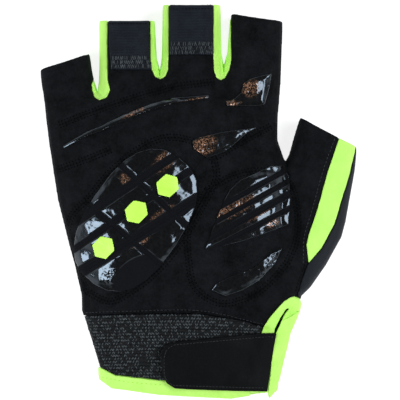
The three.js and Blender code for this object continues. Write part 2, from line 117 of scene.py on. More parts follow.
def mergedCopy(nodeNames):
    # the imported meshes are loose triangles, so their copies are merged first
    joined = bmesh.new()
    for nodeName in nodeNames:
        joined.from_mesh(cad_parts[nodeName].data)
    bmesh.ops.remove_doubles(joined, verts=joined.verts, dist=mergeReach)
    mesh = bpy.data.meshes.new("copy")
    joined.to_mesh(mesh)
    joined.free()
    return mesh


def withModifiers(thing):
    # turns what the modifiers make into the object's own plain mesh
    bpy.context.view_layer.update()
    evaluated = thing.evaluated_get(bpy.context.evaluated_depsgraph_get())
    mesh = bpy.data.meshes.new_from_object(evaluated)
    thing.modifiers.clear()
    thing.data = mesh
    return thing


def remeshed(name, nodeNames, voxel):
    thing = addObject(name, mergedCopy(nodeNames))
    remesh = thing.modifiers.new("remesh", "REMESH")
    remesh.mode = "VOXEL"
    remesh.voxel_size = voxel
    return withModifiers(thing)


def edgeSmoothed(points, edges, rounds, forward=0.5, back=-0.53):
    # two-way smoothing, which rounds facets off without shrinking the form
    count = len(points)
    degree = np.bincount(edges.ravel(), minlength=count)[:, None]
    for step in range(rounds * 2):
        total = np.empty_like(points)
        for axis in range(3):
            ends = points[:, axis]
            total[:, axis] = np.bincount(edges[:, 0], ends[edges[:, 1]], count)
            total[:, axis] += np.bincount(edges[:, 1], ends[edges[:, 0]], count)
        share = forward if step % 2 == 0 else back
        points = points + share * (total / np.maximum(degree, 1) - points)
    return points


def meshEdges(mesh):
    flat = np.empty(len(mesh.edges) * 2, np.int32)
    mesh.edges.foreach_get("vertices", flat)
    return flat.reshape(-1, 2)


def smoothStep(low, high, values):
    t = np.clip((values - low) / (high - low), 0, 1)
    return t * t * (3 - 2 * t)


# Smooth random heights over the plan, the same on each run
noiseSetup = {"seed": 7, "cells": 64, "shiftU": 17.3, "shiftV": 41.9}
noiseCells = noiseSetup["cells"]
noiseTable = np.random.default_rng(noiseSetup["seed"]).uniform(-1, 1, (noiseCells, noiseCells))


def planNoise(x, y, size):
    u = np.asarray(x) / size + noiseSetup["shiftU"]
    v = np.asarray(y) / size + noiseSetup["shiftV"]
    iu = np.floor(u).astype(int)
    iv = np.floor(v).astype(int)
    fu = u - iu
    fv = v - iv
    fu = fu * fu * (3 - 2 * fu)
    fv = fv * fv * (3 - 2 * fv)
    rows = []
    for b in (0, 1):
        left = noiseTable[iu % noiseCells, (iv + b) % noiseCells]
        right = noiseTable[(iu + 1) % noiseCells, (iv + b) % noiseCells]
        rows.append(left * (1 - fu) + right * fu)
    return rows[0] * (1 - fv) + rows[1] * fv


def smoothPath(points, step=1.0):
    # a rounded path through a few points, sampled about every step in the points' own unit
    p = np.array(points, float)
    ends = np.vstack([2 * p[0] - p[1], p, 2 * p[-1] - p[-2]])
    path = []
    for i in range(1, len(ends) - 2):
        a, b, c, d = ends[i - 1], ends[i], ends[i + 1], ends[i + 2]
        count = max(2, int(np.linalg.norm(c - b) / step))
        for t in np.arange(count) / count:
            bend = (2 * a - 5 * b + 4 * c - d) * t**2 + (3 * b - a - 3 * c + d) * t**3
            path.append(0.5 * (2 * b + (c - a) * t + bend))
    path.append(p[-1])
    return np.array(path)


def pathDistance(x, y, path):
    # distance of each point of the plan from a path, in the path's unit
    best = np.full(np.shape(x), 1e9)
    for a, b in zip(path[:-1], path[1:]):
        run = b - a
        t = np.clip(((x - a[0]) * run[0] + (y - a[1]) * run[1]) / max(run @ run, 1e-12), 0, 1)
        best = np.minimum(best, np.hypot(x - a[0] - t * run[0], y - a[1] - t * run[1]))
    return best


def nearestOf(x, y, paths):
    # distance from the nearest of several paths in metres
    best = np.full(np.shape(x), 1.0)
    for path in paths:
        best = np.minimum(best, pathDistance(x, y, path))
    return best


def photoPath(points, step=3.0):
    # a path drawn over the photograph's pixels, in metres
    path = smoothPath(points, step)
    x, y = fromPhoto(path[:, 0], path[:, 1])
    return np.column_stack([x, y])


def photoPaths(lines, step=3.0):
    return {name: photoPath(points, step) for name, points in lines.items()}


def bell(distance, width):
    return np.exp(-((distance / width) ** 2))


def smoothShaded(thing):
    thing.data.polygons.foreach_set("use_smooth", [True] * len(thing.data.polygons))
    thing.data.update()


# The whole shell of cloth, smoothed once; every piece then takes the moves of the cloth beside it
shell = {
    "nodes": ["palm_panel", "back_panel", "cuff_band", "thumb_stripe", "hem_binding", "slit_binding"]
    + ["gusset_pinky_ring", "gusset_ring_middle", "gusset_middle_index"],
    "voxel": 1.0 * mm,  # coarse enough to bridge the sewing gaps
    "stepRounds": 14,
    "rounds": 70,
    "mostMove": 1.1 * mm,
    "neighbours": 6,
    "blur": 0.2 * mm,
    "evenRounds": 6,
}
shellForm = remeshed("shell_form", shell["nodes"], shell["voxel"])
# the steps of the voxels go first, so that the moves hold only the cloth's own corners
shellEdges = meshEdges(shellForm.data)
shellStart = edgeSmoothed(meshPoints(shellForm.data), shellEdges, shell["stepRounds"])
shellMoves = edgeSmoothed(shellStart, shellEdges, shell["rounds"]) - shellStart
shellMoves[:, 1] = 0  # the cut ends of the fingers and the wrist stay where they are
moveLength = np.linalg.norm(shellMoves, axis=1)[:, None]
shellMoves *= np.minimum(1, shell["mostMove"] / np.maximum(moveLength, 1e-9))
shellTree = KDTree(len(shellStart))
for shellIndex, shellPoint in enumerate(shellStart):
    shellTree.insert(shellPoint, shellIndex)
shellTree.balance()
print("stage: shell smoothed,", len(shellStart), "points")


def shellMove(points):
    moves = np.empty_like(points)
    for row, point in enumerate(points):
        found = shellTree.find_n(point, shell["neighbours"])
        weights = np.array([1 / (distance + shell["blur"]) ** 2 for near, index, distance in found])
        moves[row] = weights @ shellMoves[[index for near, index, distance in found]] / weights.sum()
    return moves


# The upper side as one sheet over the plan: its cloth is pressed up from inside between the sewn lines
sheet = {
    "spacing": 2.0 * mm,
    "margin": 4 * mm,
    "pressure": 4.0,
    "stretch": 0.012,  # spare cloth, which gathers into soft folds
    "mostMove": 1.8 * mm,
    "frames": 20,
    "seamReach": 1.6 * mm,
    "lowest": 5 * mm,
    "mostStep": 5 * mm,
    "heldBelow": 9 * mm,
    "fadeFrom": 7 * mm,
    "fadeTo": 12 * mm,
}
sheetCloth = {
    "quality": 6,
    "mass": 0.05,
    "tension_stiffness": 8,
    "compression_stiffness": 8,
    "shear_stiffness": 4,
    "bending_stiffness": 0.3,
    "use_pressure": True,
    "uniform_pressure_force": sheet["pressure"],
    "shrink_min": -sheet["stretch"],
    "vertex_group_mass": "held",
}
seamLines = {
    "heelPad": [(88, 292), (111, 301), (136, 288), (160, 268)]
    + [(184, 238), (203, 205), (216, 178), (214, 160)],
    "heelPadTop": [(214, 160), (196, 143), (166, 138), (138, 150), (111, 172)]
    + [(90, 197), (71, 218), (68, 250), (88, 292)],
    "thumbPad": [(207, 190), (189, 228), (189, 262), (196, 288)]
    + [(221, 303), (252, 295), (272, 280), (287, 262)],
    "thumbPadTop": [(287, 262), (296, 240), (297, 210), (290, 185), (270, 172), (238, 174), (207, 190)],
    "knuckleLow": [(60, 169), (86, 160), (111, 150)],
    "knuckleHigh": [(60, 125), (88, 114), (128, 100), (170, 88), (214, 82)],
    "hookLow": [(216, 157), (243, 141), (270, 126.5)],
    "cuffTop": [(84.8, 316), (130, 314), (200, 313.5), (266.6, 328)],
    "thumbSeam": [(308.3, 262.8), (302, 280), (297, 297)],
}
seamPaths = photoPaths(seamLines)


def seamDistance(x, y):
    return nearestOf(x, y, seamPaths.values())


outerTree = BVHTree.FromPolygons(
    [vertex.co for vertex in shellForm.data.vertices],
    [polygon.vertices for polygon in shellForm.data.polygons],
)


farOff = 0.2  # outside the glove on every side


def surfaceAbove(x, y):
    hit = outerTree.ray_cast(Vector((x, y, farOff)), Vector((0, 0, -1)))
    return hit[0].z if hit[0] is not None else -1.0


# Where the little finger leaves the palm the low side has a step, which is evened out
side = {
    "height": 3.0 * mm,
    "from": -25 * mm,
    "to": 51 * mm,
    "fadeIn": 10 * mm,
    "fadeOut": 14 * mm,
    "window": 12 * mm,
    "fullReach": 2 * mm,
    "reach": 7 * mm,
    "noneAbove": 7.4 * mm,
}
sideY = np.arange(side["from"], side["to"], 1.0 * mm)
sideX = []
for y in sideY:
    hit = outerTree.ray_cast(Vector((-farOff, y, side["height"])), Vector((1, 0, 0)))
    sideX.append(hit[0].x)
sideX = np.array(sideX)
sideCount = int(side["window"] / mm)
sideWide = np.pad(sideX, sideCount, mode="reflect", reflect_type="odd")
sideChange = np.convolve(sideWide, np.ones(2 * sideCount + 1) / (2 * sideCount + 1), "valid") - sideX
print("stage: left side evened by up to", round(float(np.abs(sideChange).max()) / mm, 2), "mm")
sideChange *= smoothStep(side["from"], side["from"] + side["fadeIn"], sideY)
sideChange *= 1 - smoothStep(side["to"] - side["fadeOut"], side["to"], sideY)


def sideMove(x, y, z):
    inside = (y > side["from"]) & (y < side["to"]) & (x < 0)
    depth = np.abs(np.interp(y, sideY, sideX) - x)
    weight = 1 - smoothStep(side["fullReach"], side["reach"], depth)
    weight *= 1 - smoothStep(side["height"], side["noneAbove"], z)
    return np.where(inside, np.interp(y, sideY, sideChange) * weight, 0)


def sheetLine(axis):
    low = cadBounds[0][axis] - sheet["margin"]
    high = cadBounds[1][axis] + sheet["margin"]
    return np.arange(low, high, sheet["spacing"])


sheetX = sheetLine(0)
sheetY = sheetLine(1)
gridX, gridY = np.meshgrid(sheetX, sheetY, indexing="ij")
gridZ = np.array([[surfaceAbove(x, y) for y in sheetY] for x in sheetX])
sheetMoves = np.zeros(gridX.shape + (3,))
onTop = gridZ > sheet["lowest"]
gridIndex = -np.ones(gridX.shape, int)
gridIndex[onTop] = np.arange(onTop.sum())
sheetFaces = []
for i in range(len(sheetX) - 1):
    for j in range(len(sheetY) - 1):
        corners = [int(gridIndex[i + a, j + b]) for a, b in ((0, 0), (1, 0), (1, 1), (0, 1))]
        heights = gridZ[i : i + 2, j : j + 2]
        if min(corners) >= 0 and heights.max() - heights.min() < sheet["mostStep"]:
            sheetFaces.append(corners)
sheetStart = np.column_stack([gridX[onTop], gridY[onTop], gridZ[onTop]])
sheetMesh = bpy.data.meshes.new("sheet")
sheetMesh.from_pydata(sheetStart.tolist(), [], sheetFaces)
sheetThing = addObject("sheet_form", sheetMesh)
faceCount = np.bincount(np.array(sheetFaces).ravel(), minlength=len(sheetStart))
sewn = seamDistance(sheetStart[:, 0], sheetStart[:, 1]) < sheet["seamReach"]
held = (faceCount < 4) | sewn | (sheetStart[:, 2] < sheet["heldBelow"])
sheetThing.vertex_groups.new(name="held").add(np.flatnonzero(held).tolist(), 1.0, "REPLACE")
cloth = sheetThing.modifiers.new("cloth", "CLOTH")
for label, value in sheetCloth.items():
    setattr(cloth.settings, label, value)
cloth.settings.effector_weights.gravity = 0
cloth.collision_settings.use_collision = False
cloth.point_cache.frame_end = sheet["frames"]
for frameNumber in range(1, sheet["frames"] + 1):
    scene.frame_set(frameNumber)
withModifiers(sheetThing)
scene.frame_set(1)
moved = meshPoints(sheetThing.data) - sheetStart
far = np.linalg.norm(moved, axis=1)[:, None]
print("cloth moved by up to", round(float(far.max()) / mm, 2), "mm")
moved *= sheet["mostMove"] / (sheet["mostMove"] + far)  # a soft limit
sheetMoves[onTop] = moved
bpy.data.objects.remove(sheetThing)
bpy.data.objects.remove(shellForm)
print("stage: cloth over the pads")


def smoothWeights(t):
    first = (1 - t) ** 3 / 6
    second = (3 * t**3 - 6 * t**2 + 4) / 6
    third = (-3 * t**3 + 3 * t**2 + 3 * t + 1) / 6
    return first, second, third, t**3 / 6


def sheetMove(x, y):
    # read from the grid with smooth weights over four neighbours each way, so that gloss shows no facets
    u = np.clip((x - sheetX[0]) / sheet["spacing"], 1, len(sheetX) - 3.001)
    v = np.clip((y - sheetY[0]) / sheet["spacing"], 1, len(sheetY) - 3.001)
    iu = u.astype(int)
    iv = v.astype(int)
    move = np.zeros((len(x), 3))
    for a, weightU in enumerate(smoothWeights(u - iu)):
        for b, weightV in enumerate(smoothWeights(v - iv)):
            move += (weightU * weightV)[:, None] * sheetMoves[iu + a - 1, iv + b - 1]
    return move


# Creases, sewn channels and the slight unevenness of leather-like cloth
relief = {
    "channelDepth": 0.45 * mm,
    "channelWidth": 1.7 * mm,
    "creaseDepth": 0.8 * mm,
    "creaseWidth": 2.6 * mm,
    "unevenness": 0.22 * mm,
    "longWave": 11 * mm,
    "shortWave": 4.5 * mm,
    "noneBelow": 6 * mm,
    "fullAbove": 11 * mm,
}
creaseLines = {
    "thumb": [(304, 150), (298, 175), (296, 200), (297, 238)],
    "thumbFold": [(314, 152), (310, 172), (306, 196)],
    "palmSide": [(66, 210), (60, 236), (62, 262)],
    "web": [(226, 96), (214, 104), (205, 112)],
    "webRing": [(157, 90), (152, 100), (140, 110)],
    "indexBase": [(272, 100), (285, 118), (292, 140)],
}
creasePaths = photoPaths(creaseLines)
ridgeLines = {
    "thumb": [(310, 150), (305, 172), (302, 200), (303, 232)],
    "pinky": [(88, 118), (96, 114), (112, 109)],
    "ring": [(148, 96), (160, 92), (176, 90)],
    "middle": [(206, 91), (222, 89), (241, 84)],
}
ridgeSizes = {"thumb": (0.75 * mm, 1.9 * mm), "others": (0.35 * mm, 1.1 * mm)}
ridgePaths = photoPaths(ridgeLines)


# The back of the hand, which the glove lies on: sewn seams and a ribbed flex zone over the knuckles
backDetail = {
    "depth": 0.42 * mm,
    "width": 0.75 * mm,
    "ribs": 5,
    "unevenness": 0.12 * mm,
    "wave": 14 * mm,
    "fullBelow": 1.8 * mm,
    "noneAbove": 3 * mm,
}
backSeams = {
    "ring": [(99, 106), (97, 140), (104, 190), (122, 240), (140, 312)],
    "middle": [(221, 88), (226, 130), (222, 190), (208, 245), (196, 312)],
    "thumb": [(294, 168), (281, 210), (280, 255), (291, 300)],
    "thumbTop": [(312, 138), (322, 182), (312, 235), (292, 290)],
    "wrist": [(88, 316), (140, 315), (200, 316), (262, 327)],
    "flexTop": [(102, 116), (130, 108), (160, 103), (190, 101), (222, 106)],
    "flexLow": [(101, 150), (130, 142), (160, 137), (190, 136), (224, 141)],
}
backPaths = photoPaths(backSeams)
upper = np.array(backSeams["flexTop"], float)
lower = np.array(backSeams["flexLow"], float)
for rib in range(1, backDetail["ribs"] + 1):
    share = rib / (backDetail["ribs"] + 1)
    backPaths["rib%d" % rib] = photoPath(upper * (1 - share) + lower * share)


# Small folds where each neon strip turns at its foot
puckerLines = {
    "ring": [(156.5, 69), (157.5, 78)],
    "ringSide": [(151.5, 71), (154, 78)],
    "middle": [(219.2, 63), (219.8, 72)],
    "middleSide": [(223.4, 64), (222.8, 72)],
    "pinky": [(97.5, 88), (98.5, 97)],
}
puckerPaths = photoPaths(puckerLines, 1.0)
pucker = {"depth": 0.6 * mm, "width": 0.5 * mm}


def puckerMove(x, y):
    return -pucker["depth"] * bell(nearestOf(x, y, puckerPaths.values()), pucker["width"])


def reliefMove(points):
    x, y, z = points.T
    lift = -relief["channelDepth"] * bell(seamDistance(x, y), relief["channelWidth"])
    for path in creasePaths.values():
        lift -= relief["creaseDepth"] * bell(pathDistance(x, y, path), relief["creaseWidth"])
    for name, path in ridgePaths.items():
        high, wide = ridgeSizes.get(name, ridgeSizes["others"])
        lift += high * bell(pathDistance(x, y, path), wide)
    lift += relief["unevenness"] * planNoise(x, y, relief["longWave"])
    lift += 0.4 * relief["unevenness"] * planNoise(x, y, relief["shortWave"])
    lift *= smoothStep(relief["noneBelow"], relief["fullAbove"], z)
    low = z < backDetail["noneAbove"]
    if low.any():
        nearest = nearestOf(x[low], y[low], backPaths.values())
        sunk = backDetail["depth"] * bell(nearest, backDetail["width"])
        sunk += backDetail["unevenness"] * (1 + planNoise(x[low], y[low], backDetail["wave"]))
        lift[low] += sunk * (1 - smoothStep(backDetail["fullBelow"], backDetail["noneAbove"], z[low]))
    return lift


def shaped(points, edges):
    # the shell's moves are evened over the piece's own mesh, so that its edges stay clean
    moved = points + edgeSmoothed(shellMove(points), edges, shell["evenRounds"], 0.5, 0.5)
    moved[:, 0] += sideMove(*points.T)
    top = smoothStep(sheet["fadeFrom"], sheet["fadeTo"], points[:, 2])[:, None]
    moved = moved + top * sheetMove(points[:, 0], points[:, 1])
    moved[:, 2] += reliefMove(points)
    moved[:, 2] = np.maximum(moved[:, 2], 0.0)
    return moved


# Node maths: a wire is one output socket, and arithmetic on it adds the Math nodes
class Wire:
    def __init__(self, board, socket):
        self.board = board
        self.socket = socket

    def math(self, operation, *others, clamp=False):
        values = {0: self}
        values.update({place: other for place, other in enumerate(others, 1)})
        return self.board.node("ShaderNodeMath", {"operation": operation, "use_clamp": clamp}, values)

    def __add__(self, other):
        return self.math("ADD", other)

    __radd__ = __add__

    def __mul__(self, other):
        return self.math("MULTIPLY", other)

    __rmul__ = __mul__

    def __sub__(self, other):
        return self.math("SUBTRACT", other)

    def __rsub__(self, other):
        return self * -1 + other

    def __truediv__(self, other):
        return self * (1 / other)

    def __mod__(self, other):
        return self.math("MODULO", other)

    def sine(self):
        return self.math("SINE")

    def clamped(self):
        return self.math("ADD", 0.0, clamp=True)

    def ramp(self, low, high):
        return ((self - low) / (high - low)).clamped()


class NodeBoard:
    def __init__(self, tree):
        self.tree = tree

    def node(self, kind, settings=None, inputs=None, output=0):
        made = self.tree.nodes.new(kind)
        for name, value in (settings or {}).items():
            setattr(made, name, value)
        for place, value in (inputs or {}).items():
            if isinstance(value, Wire):
                self.tree.links.new(value.socket, made.inputs[place])
            else:
                made.inputs[place].default_value = value
        return Wire(self, made.outputs[output])


class Finish(NodeBoard):
    # one material: a Principled shader and the nodes that vary it over the surface
    def __init__(self, name, **constants):
        self.material = bpy.data.materials.new(name)
        self.material.use_nodes = True
        super().__init__(self.material.node_tree)
        self.tree.nodes.clear()
        self.shader = self.tree.nodes.new("ShaderNodeBsdfPrincipled")
        self.output = self.tree.nodes.new("ShaderNodeOutputMaterial")
        self.tree.links.new(self.shader.outputs[0], self.output.inputs["Surface"])
        self.coords = self.node("ShaderNodeTexCoord", output="Object")
        for label, value in constants.items():
            self.shader.inputs[label.replace("_", " ")].default_value = value

    def drive(self, **inputs):
        for label, wire in inputs.items():
            self.tree.links.new(wire.socket, self.shader.inputs[label.replace("_", " ")])

    def over(self, share, inputs):
        # a second, plainer shader that covers the first by share
        cover = self.tree.nodes.new("ShaderNodeBsdfPrincipled")
        for label, value in inputs.items():
            if isinstance(value, Wire):
                self.tree.links.new(value.socket, cover.inputs[label])
            else:
                cover.inputs[label].default_value = value
        blend = self.tree.nodes.new("ShaderNodeMixShader")
        self.tree.links.new(share.socket, blend.inputs[0])
        self.tree.links.new(self.shader.outputs[0], blend.inputs[1])
        self.tree.links.new(cover.outputs[0], blend.inputs[2])
        self.tree.links.new(blend.outputs[0], self.output.inputs["Surface"])

    def axes(self, turn=0.0):
        placed = self.node("ShaderNodeMapping", None, {"Rotation": (0, 0, turn), "Vector": self.coords})
        return [self.node("ShaderNodeSeparateXYZ", None, {0: placed}, axis) for axis in range(3)]

    def noise(self, scale, detail=2.0, roughness=0.5):
        inputs = {"Vector": self.coords, "Scale": scale, "Detail": detail, "Roughness": roughness}
        return self.node("ShaderNodeTexNoise", None, inputs)

    def cells(self, scale, feature="F1", output="Distance"):
        inputs = {"Vector": self.coords, "Scale": scale}
        return self.node("ShaderNodeTexVoronoi", {"feature": feature}, inputs, output)

    def attribute(self, name):
        return self.node("ShaderNodeAttribute", {"attribute_name": name}, None, "Fac")

    def mixed(self, share, first, second):
        inputs = {0: share}
        for place, colour in ((6, first), (7, second)):
            inputs[place] = colour if isinstance(colour, Wire) else (*colour, 1)
        return self.node("ShaderNodeMix", {"data_type": "RGBA"}, inputs, 2)

    def bumped(self, height, depth, strength=1.0, under=None):
        inputs = {"Height": height, "Distance": depth, "Strength": strength}
        if under is not None:
            inputs["Normal"] = under
        return self.node("ShaderNodeBump", None, inputs)


def suedeFinish():
    # black synthetic suede: a fine short nap with soft blotches where it has been brushed, and painted
    # shade along the sewn lines
    finish = Finish("suede", Specular_IOR_Level=0.06, Sheen_Weight=0.035, Sheen_Roughness=0.4)
    finish.shader.inputs["Sheen Tint"].default_value = (0.55, 0.62, 0.72, 1)
    nap = finish.noise(2600, 3.0, 0.65)
    pits = finish.cells(1500)
    brushed = finish.noise(70, 3.0, 0.6)
    # the suede is darker along the sewn lines: painted shade in the sunk seam channels
    sewn = finish.attribute("sewn")
    grain = finish.noise(1100, 2.0, 0.7)
    blotches = finish.noise(230, 3.0, 0.6)
    fine = nap * 0.5 + grain * 0.9
    broad = brushed * 0.9 + blotches * 0.9
    tone = (fine + broad - 1.1 - sewn * 0.2).clamped()
    colour = finish.mixed(tone, (0.0004, 0.0005, 0.0007), (0.0100, 0.0108, 0.0126))
    finish.drive(Base_Color=colour, Roughness=nap * 0.2 + 0.78)
    napped = finish.bumped(nap + pits * 0.5, 0.09 * mm, 0.9)
    finish.drive(Normal=finish.bumped(brushed, 0.5 * mm, 0.5, napped))
    return finish.material


def stretchFinish():
    # knitted elastane for the back: fine rows of loops, a little lighter and bluer than the suede
    finish = Finish("stretch", Specular_IOR_Level=0.16, Sheen_Weight=0.1, Sheen_Roughness=0.4)
    finish.shader.inputs["Sheen Tint"].default_value = (0.6, 0.68, 0.8, 1)
    x, y, z = finish.axes(0.12)
    wale = ((x + z * 0.6) * 7800).sine()
    course = ((y + z * 0.5) * 6600).sine()
    loops = wale * course * 0.5 + 0.5
    patches = finish.noise(90, 3.0)
    tone = (loops * 0.55 + patches * 0.5 - 0.05).clamped()
    colour = finish.mixed(tone, (0.0036, 0.0044, 0.0058), (0.0150, 0.0180, 0.0240))
    finish.drive(Base_Color=colour, Roughness=0.62 + patches * 0.2)
    finish.drive(Normal=finish.bumped(loops, 0.1 * mm, 0.8, finish.bumped(patches, 0.4 * mm, 0.4)))
    return finish.material


def neonFinish(name, turn, rib):
    # fluorescent elastane: even, bright, with fine ribs and darker threads between them; its emission is a
    # painted glow
    finish = Finish(name, Specular_IOR_Level=0.3, Emission_Strength=0.1, Sheen_Weight=0.1)
    x, y, z = finish.axes(turn)
    ribs = ((x + z * 0.7) * rib).sine() * 0.5 + 0.5
    cross = ((y + z * 0.4) * rib * 0.8).sine() * 0.5 + 0.5
    patches = finish.noise(160, 3.0)
    weave = ribs * 0.6 + cross * 0.4
    # darker next to the sewn lines, where the neon meets the other cloths: painted shade
    edge = finish.attribute("sewn")
    tone = (weave * 0.3 + patches * 0.8 - edge * 0.6).clamped()
    colour = finish.mixed(tone, (0.34, 0.70, 0.075), (0.56, 0.93, 0.19))
    finish.drive(Base_Color=colour, Emission_Color=colour, Roughness=0.5 + patches * 0.25)
    finish.drive(Normal=finish.bumped(weave, 0.07 * mm, 0.7))
    return finish.material


def tapeFinish():
    # woven polyester tape: fine cross ribs with a lighter thread here and there
    finish = Finish("tape", Specular_IOR_Level=0.12)
    x, y, z = finish.axes(0.01)
    ribs = (y * 9800).sine() * 0.5 + 0.5
    warp = (x * 13000 + ribs * 2.4).sine() * 0.5 + 0.5
    flecks = finish.noise(1700, 1.0).ramp(0.55, 0.75)
    shade = finish.noise(220, 2.0)
    tone = (ribs * 0.4 + warp * 0.12 + flecks * 0.3 + shade * 0.5 - 0.2).clamped()
    colour = finish.mixed(tone, (0.0018, 0.0028, 0.0045), (0.0180, 0.0240, 0.0345))
    finish.drive(Base_Color=colour, Roughness=0.55 + ribs * 0.2)
    finish.drive(Normal=finish.bumped(ribs * 0.8 + warp * 0.2, 0.14 * mm, 0.9))
    return finish.material


def knitFinish():
    # the ground of the coarse elastic knit
    finish = Finish("knit", Specular_IOR_Level=0.12)
    x, y, z = finish.axes(0.05)
    rows = ((y + z * 0.4) * 3700).sine() * 0.5 + 0.5
    fuzz = finish.noise(2300, 2.0, 0.7)
    colour = finish.mixed((rows * fuzz).clamped(), (0.004, 0.0045, 0.005), (0.02, 0.022, 0.023))
    finish.drive(Base_Color=colour, Roughness=0.8 + fuzz * 0.1)
    finish.drive(Normal=finish.bumped(rows + fuzz, 0.14 * mm, 0.8))
    return finish.material


def yarnFinish():
    # the knit's loops: some of them are a light grey yarn, which shows as flecks
    finish = Finish("yarn", Specular_IOR_Level=0.2)
    twist = finish.noise(3400, 1.0)
    light = finish.attribute("light")
    colour = finish.mixed(light, (0.0080, 0.0096, 0.0108), (0.082, 0.096, 0.102))
    finish.drive(Base_Color=colour, Roughness=0.65 + twist * 0.2)
    finish.drive(Normal=finish.bumped(twist, 0.08 * mm, 0.6))
    return finish.material


def strapFinish():
    # smooth coated fabric with a very fine leather-like grain
    finish = Finish("strap", Specular_IOR_Level=0.07)
    grain = finish.cells(1300)
    cloud = finish.noise(60, 3.0)
    tone = (grain * 0.5 + cloud * 0.5).clamped()
    colour = finish.mixed(tone, (0.0006, 0.0009, 0.0010), (0.0046, 0.0053, 0.0057))
    finish.drive(Base_Color=colour, Roughness=0.5 + cloud * 0.18)
    finish.drive(Normal=finish.bumped(grain, 0.05 * mm, 0.5))
    return finish.material


def gelFinish():
    # clear glossy film: dark bubbles in it, matte pressed bands, and copper flakes in places
    finish = Finish("gel", Specular_IOR_Level=0.7)
    finish.shader.inputs["Specular Tint"].default_value = (0.70, 0.85, 1.0, 1)
    matte = finish.attribute("matte")
    copper = finish.attribute("copper")
    bubbles = finish.cells(1000, "SMOOTH_F1")
    flake = finish.node("ShaderNodeSeparateColor", None, {0: finish.cells(2700, "F1", "Color")}, 0)
    cloud = finish.noise(330, 3.0)
    glint = (copper * cloud.ramp(0.34, 0.56) * flake.ramp(0.48, 0.80)).clamped()
    dark = finish.mixed(bubbles.ramp(0.1, 0.7), (0.0018, 0.0018, 0.0020), (0.0062, 0.0056, 0.0052))
    brown = finish.mixed(flake, (0.07, 0.024, 0.010), (0.50, 0.26, 0.15))
    tinted = finish.mixed((copper * 0.5).clamped(), dark, (0.020, 0.010, 0.0055))
    finish.drive(Base_Color=finish.mixed(glint, tinted, brown), Metallic=glint * 0.6)
    finish.drive(Roughness=(0.10 + cloud * 0.07 + glint * 0.2).clamped())
    speckled = finish.attribute("speckled")
    dimples = finish.bumped(bubbles * (copper * 1.3 + speckled * 1.6 + 0.16), 0.26 * mm, 0.7)
    finish.drive(Normal=finish.bumped(finish.noise(180, 2.0), 0.35 * mm, 0.35, dimples))
    pressed = finish.noise(2400, 2.0)
    rough = finish.mixed(pressed, (0.0018, 0.0019, 0.0025), (0.0074, 0.0077, 0.0098))
    cover = {"Base Color": rough, "Roughness": 0.85, "Specular IOR Level": 0.08}
    cover["Normal"] = finish.bumped(pressed, 0.09 * mm, 0.8)
    finish.over(matte.clamped(), cover)
    return finish.material


def printFinish():
    # thick neon ink with a faint orange-peel surface; its emission is a painted glow
    finish = Finish("print", Specular_IOR_Level=0.35, Emission_Strength=0.12)
    peel = finish.noise(1700, 2.0)
    cloud = finish.noise(300, 2.0)
    colour = finish.mixed(cloud, (0.44, 0.86, 0.06), (0.56, 0.95, 0.13))
    finish.drive(Base_Color=colour, Emission_Color=colour, Roughness=0.38 + peel * 0.2)
    finish.drive(Normal=finish.bumped(peel, 0.05 * mm, 0.5))
    return finish.material


def threadFinish(name, dark, light, glow=0.0):
    # twisted sewing thread; glow, where given, is a painted glow
    finish = Finish(name, Specular_IOR_Level=0.4, Emission_Strength=glow)
    x, y, z = finish.axes(0.7)
    twist = ((x + y + z) * 9000).sine() * 0.5 + 0.5
    colour = finish.mixed(twist, dark, light)
    finish.drive(Base_Color=colour, Emission_Color=colour, Roughness=0.5 + twist * 0.15)
    finish.drive(Normal=finish.bumped(twist, 0.04 * mm, 0.6))
    return finish.material


def dotFinish():
    # dark beads: on the palm they stand for needle holes, and their dark colour is painted shade inside the
    # holes; on the pull tabs it is the dark stitches' own colour
    finish = Finish("dot", Specular_IOR_Level=0.0, Roughness=1.0)
    depth = finish.noise(900, 1.0)
    finish.drive(Base_Color=finish.mixed(depth, (0.0006, 0.0006, 0.0008), (0.0052, 0.0056, 0.0064)))
    return finish.material


finishes = {
    "suede": suedeFinish(),
    "stretch": stretchFinish(),
    "neon": neonFinish("neon", 0.0, 15000),
    "binding": neonFinish("binding", 0.35, 13000),
    "tape": tapeFinish(),
    "knit": knitFinish(),
    "yarn": yarnFinish(),
    "strap": strapFinish(),
    "gel": gelFinish(),
    "print": printFinish(),
    "thread": threadFinish("thread", (0.004, 0.0045, 0.0055), (0.03, 0.032, 0.038)),
    "neonThread": threadFinish("neon_thread", (0.2, 0.5, 0.01), (0.45, 0.9, 0.05), 0.05),
    "dot": dotFinish(),
}
print("stage: finishes")


# Small corners that come out sharp where two cloths meet, rounded off: place and reach in metres
mendSpots = {
    "back_cloth": ((-57 * mm, 22 * mm, 3 * mm), 7 * mm),
    "binding_hem": ((35 * mm, -77 * mm, 4.5 * mm), 8 * mm),
}
mendRounds = 40


def mended(points, edges, place, reach):
    weight = 1 - smoothStep(reach * 0.4, reach, np.linalg.norm(points - place, axis=1))
    return points + weight[:, None] * (edgeSmoothed(points, edges, mendRounds, 0.5, 0.4) - points)


# Low cloths are made a little fuller, which shuts the sewing gaps between them
fuller = {"by": 0.24 * mm, "fullBelow": 11 * mm, "noneAbove": 14 * mm}


def meshNormals(mesh):
    flat = np.empty(len(mesh.vertices) * 3, np.float32)
    mesh.vertices.foreach_get("normal", flat)
    return flat.reshape(-1, 3)


def seamsShut(mesh, points):
    setMeshPoints(mesh, points)
    share = 1 - smoothStep(fuller["fullBelow"], fuller["noneAbove"], points[:, 2])
    return points + fuller["by"] * share[:, None] * meshNormals(mesh)


sewnWidth = 0.9 * mm


